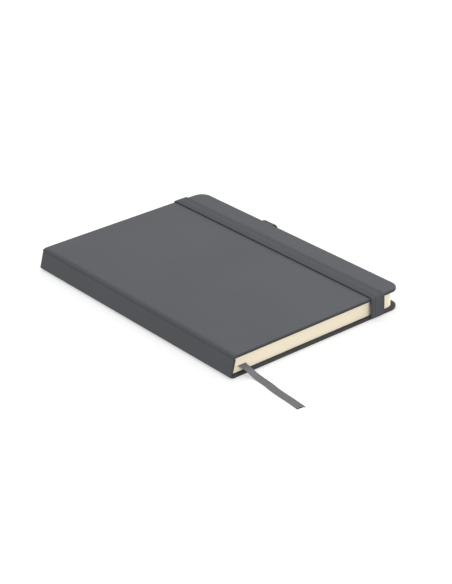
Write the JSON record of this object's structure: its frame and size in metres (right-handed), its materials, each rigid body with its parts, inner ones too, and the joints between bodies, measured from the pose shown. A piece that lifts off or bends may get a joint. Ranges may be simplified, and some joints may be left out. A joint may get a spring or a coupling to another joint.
{
  "type": "hardcover notebook",
  "caption": "A5 hardcover notebook with rounded fore-edge corners, an elastic strap round it, a ribbon marker at the tail and a pen loop at the fore edge.",
  "frame": {"origin": "centre of the closed covers' footprint, on the back cover's outer face, on which the notebook lies", "axes": "+X from the spine to the fore edge, +Y from the tail to the head, +Z from the back cover up to the front cover"},
  "size_m": [0.1597, 0.2663, 0.017],
  "materials": {
    "covering": "matte soft-touch leatherette",
    "board": "grey board",
    "pages": "cut edges of cream pages",
    "end_paper": "plain cream end paper",
    "lining": "open cotton cloth",
    "elastic": "ribbed woven elastic",
    "ribbon": "woven satin ribbon",
    "pen_loop": "woven elastic tape"
  },
  "bodies": {
    "book_block": {"page_block": "pages", "front_flyleaf": "end_paper", "back_flyleaf": "end_paper", "spine_lining": "lining", "spine_board": "board", "spine_skin": "covering", "bookmark_ribbon": "ribbon"},
    "front_cover": {"front_board": "board", "front_skin": "covering", "front_pastedown": "end_paper"},
    "back_cover": {"back_board": "board", "back_skin": "covering", "back_pastedown": "end_paper", "pen_loop": "pen_loop"},
    "elastic": {"elastic_band": "elastic"}
  },
  "joints": [
    {"name": "front_cover_hinge", "type": "hinge", "parent": "book_block", "child": "front_cover", "pos_m": [-0.0707, 0, 0.0148], "axis": [0, -1, 0], "range_deg": [0, 180]},
    {"name": "back_cover_hinge", "type": "hinge", "parent": "book_block", "child": "back_cover", "pos_m": [-0.0737, 0, 0.0012], "axis": [0, 1, 0], "range_deg": [0, 180]},
    {"name": "elastic_swing", "type": "hinge", "parent": "back_cover", "child": "elastic", "pos_m": [0.052, 0, 0.0005], "axis": [0, 1, 0], "range_deg": [0, 180], "deforming": ["elastic_band"]}
  ],
  "couplings": [
    {"joint": "elastic_swing", "follows": "front_cover_hinge", "ratio": 1}
  ]
}
